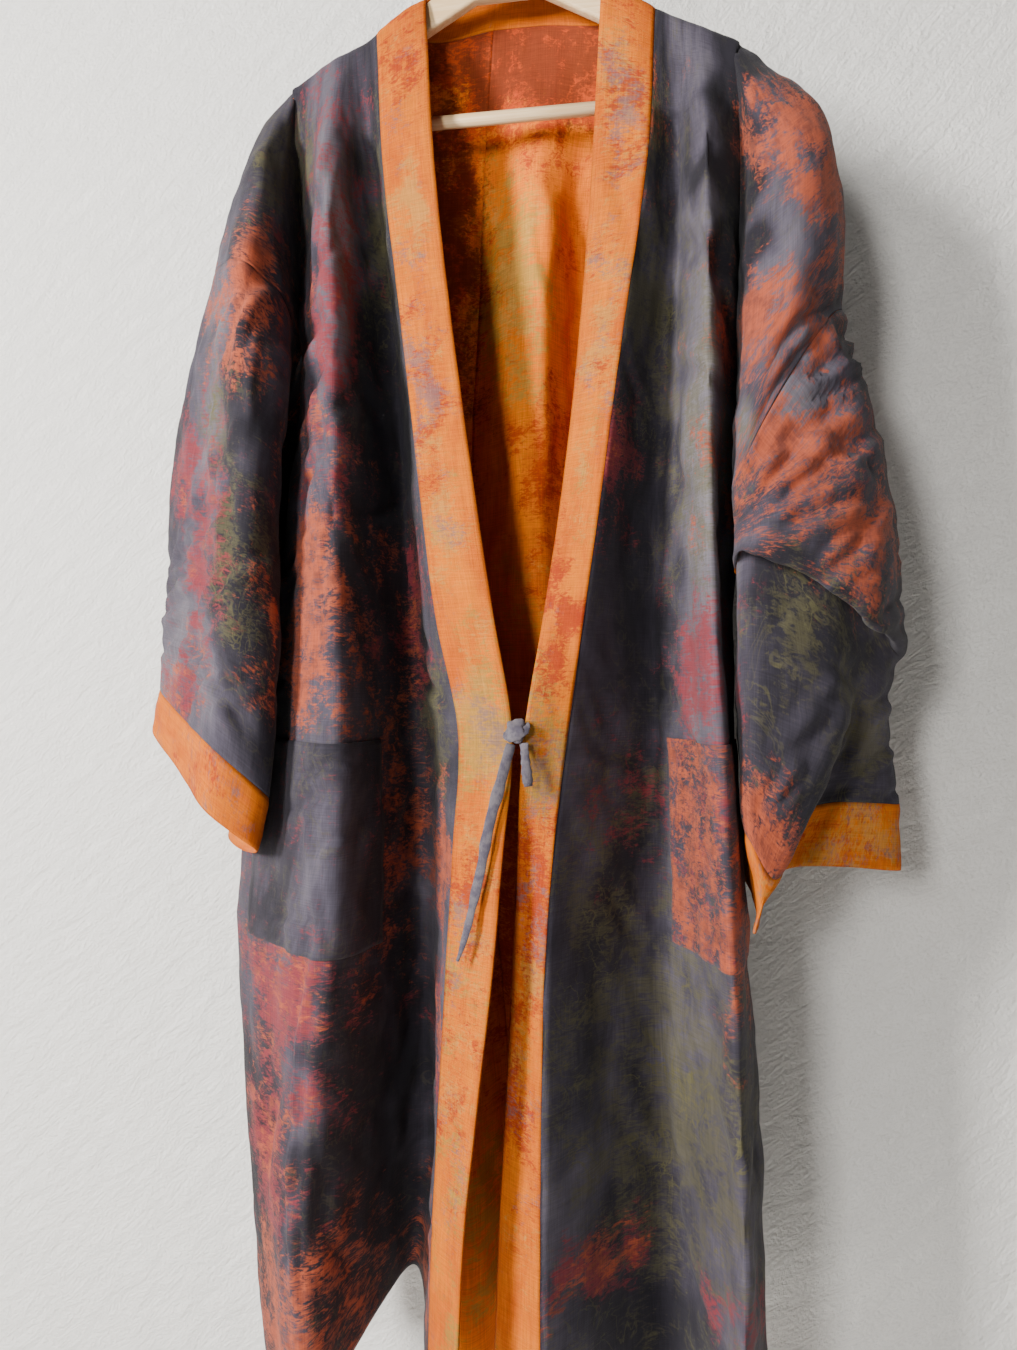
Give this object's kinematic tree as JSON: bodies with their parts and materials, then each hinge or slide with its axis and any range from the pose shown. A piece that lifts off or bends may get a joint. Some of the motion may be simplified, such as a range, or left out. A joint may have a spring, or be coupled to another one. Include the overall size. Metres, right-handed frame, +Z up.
{
  "type": "yukata on a wooden hanger",
  "caption": "Light cotton kimono-style robe hanging open on a wooden hanger with a hook, with wide hanging sleeves, a long folded collar band, patch pockets and a loosely knotted thin tie.",
  "frame": {"origin": "inside top of the hanger's hook, where it rests on a rail", "axes": "+Z up along the garment's length, the open front faces -Y, +X is the viewer's right"},
  "size_m": [0.6982, 0.2419, 1.4029],
  "materials": {
    "dark_cotton": "matte printed cotton, dark outside and orange inside",
    "orange_cotton": "matte dyed cotton",
    "tie_cotton": "matte cotton tape",
    "pale_wood": "satin",
    "steel": "satin"
  },
  "bodies": {
    "root": {"left_front": "dark_cotton", "right_front": "dark_cotton", "left_back": "dark_cotton", "right_back": "dark_cotton", "left_sleeve": "dark_cotton", "right_sleeve": "dark_cotton", "left_cuff": "orange_cotton", "right_cuff": "orange_cotton", "collar_band": "orange_cotton", "left_pocket": "dark_cotton", "right_pocket": "dark_cotton", "tie_knot": "tie_cotton", "tie_long_end": "tie_cotton", "tie_short_end": "tie_cotton", "hanger_arms": "pale_wood", "hanger_rail": "pale_wood", "hanger_ferrule": "steel", "hanger_hook": "steel"}
  },
  "joints": []
}
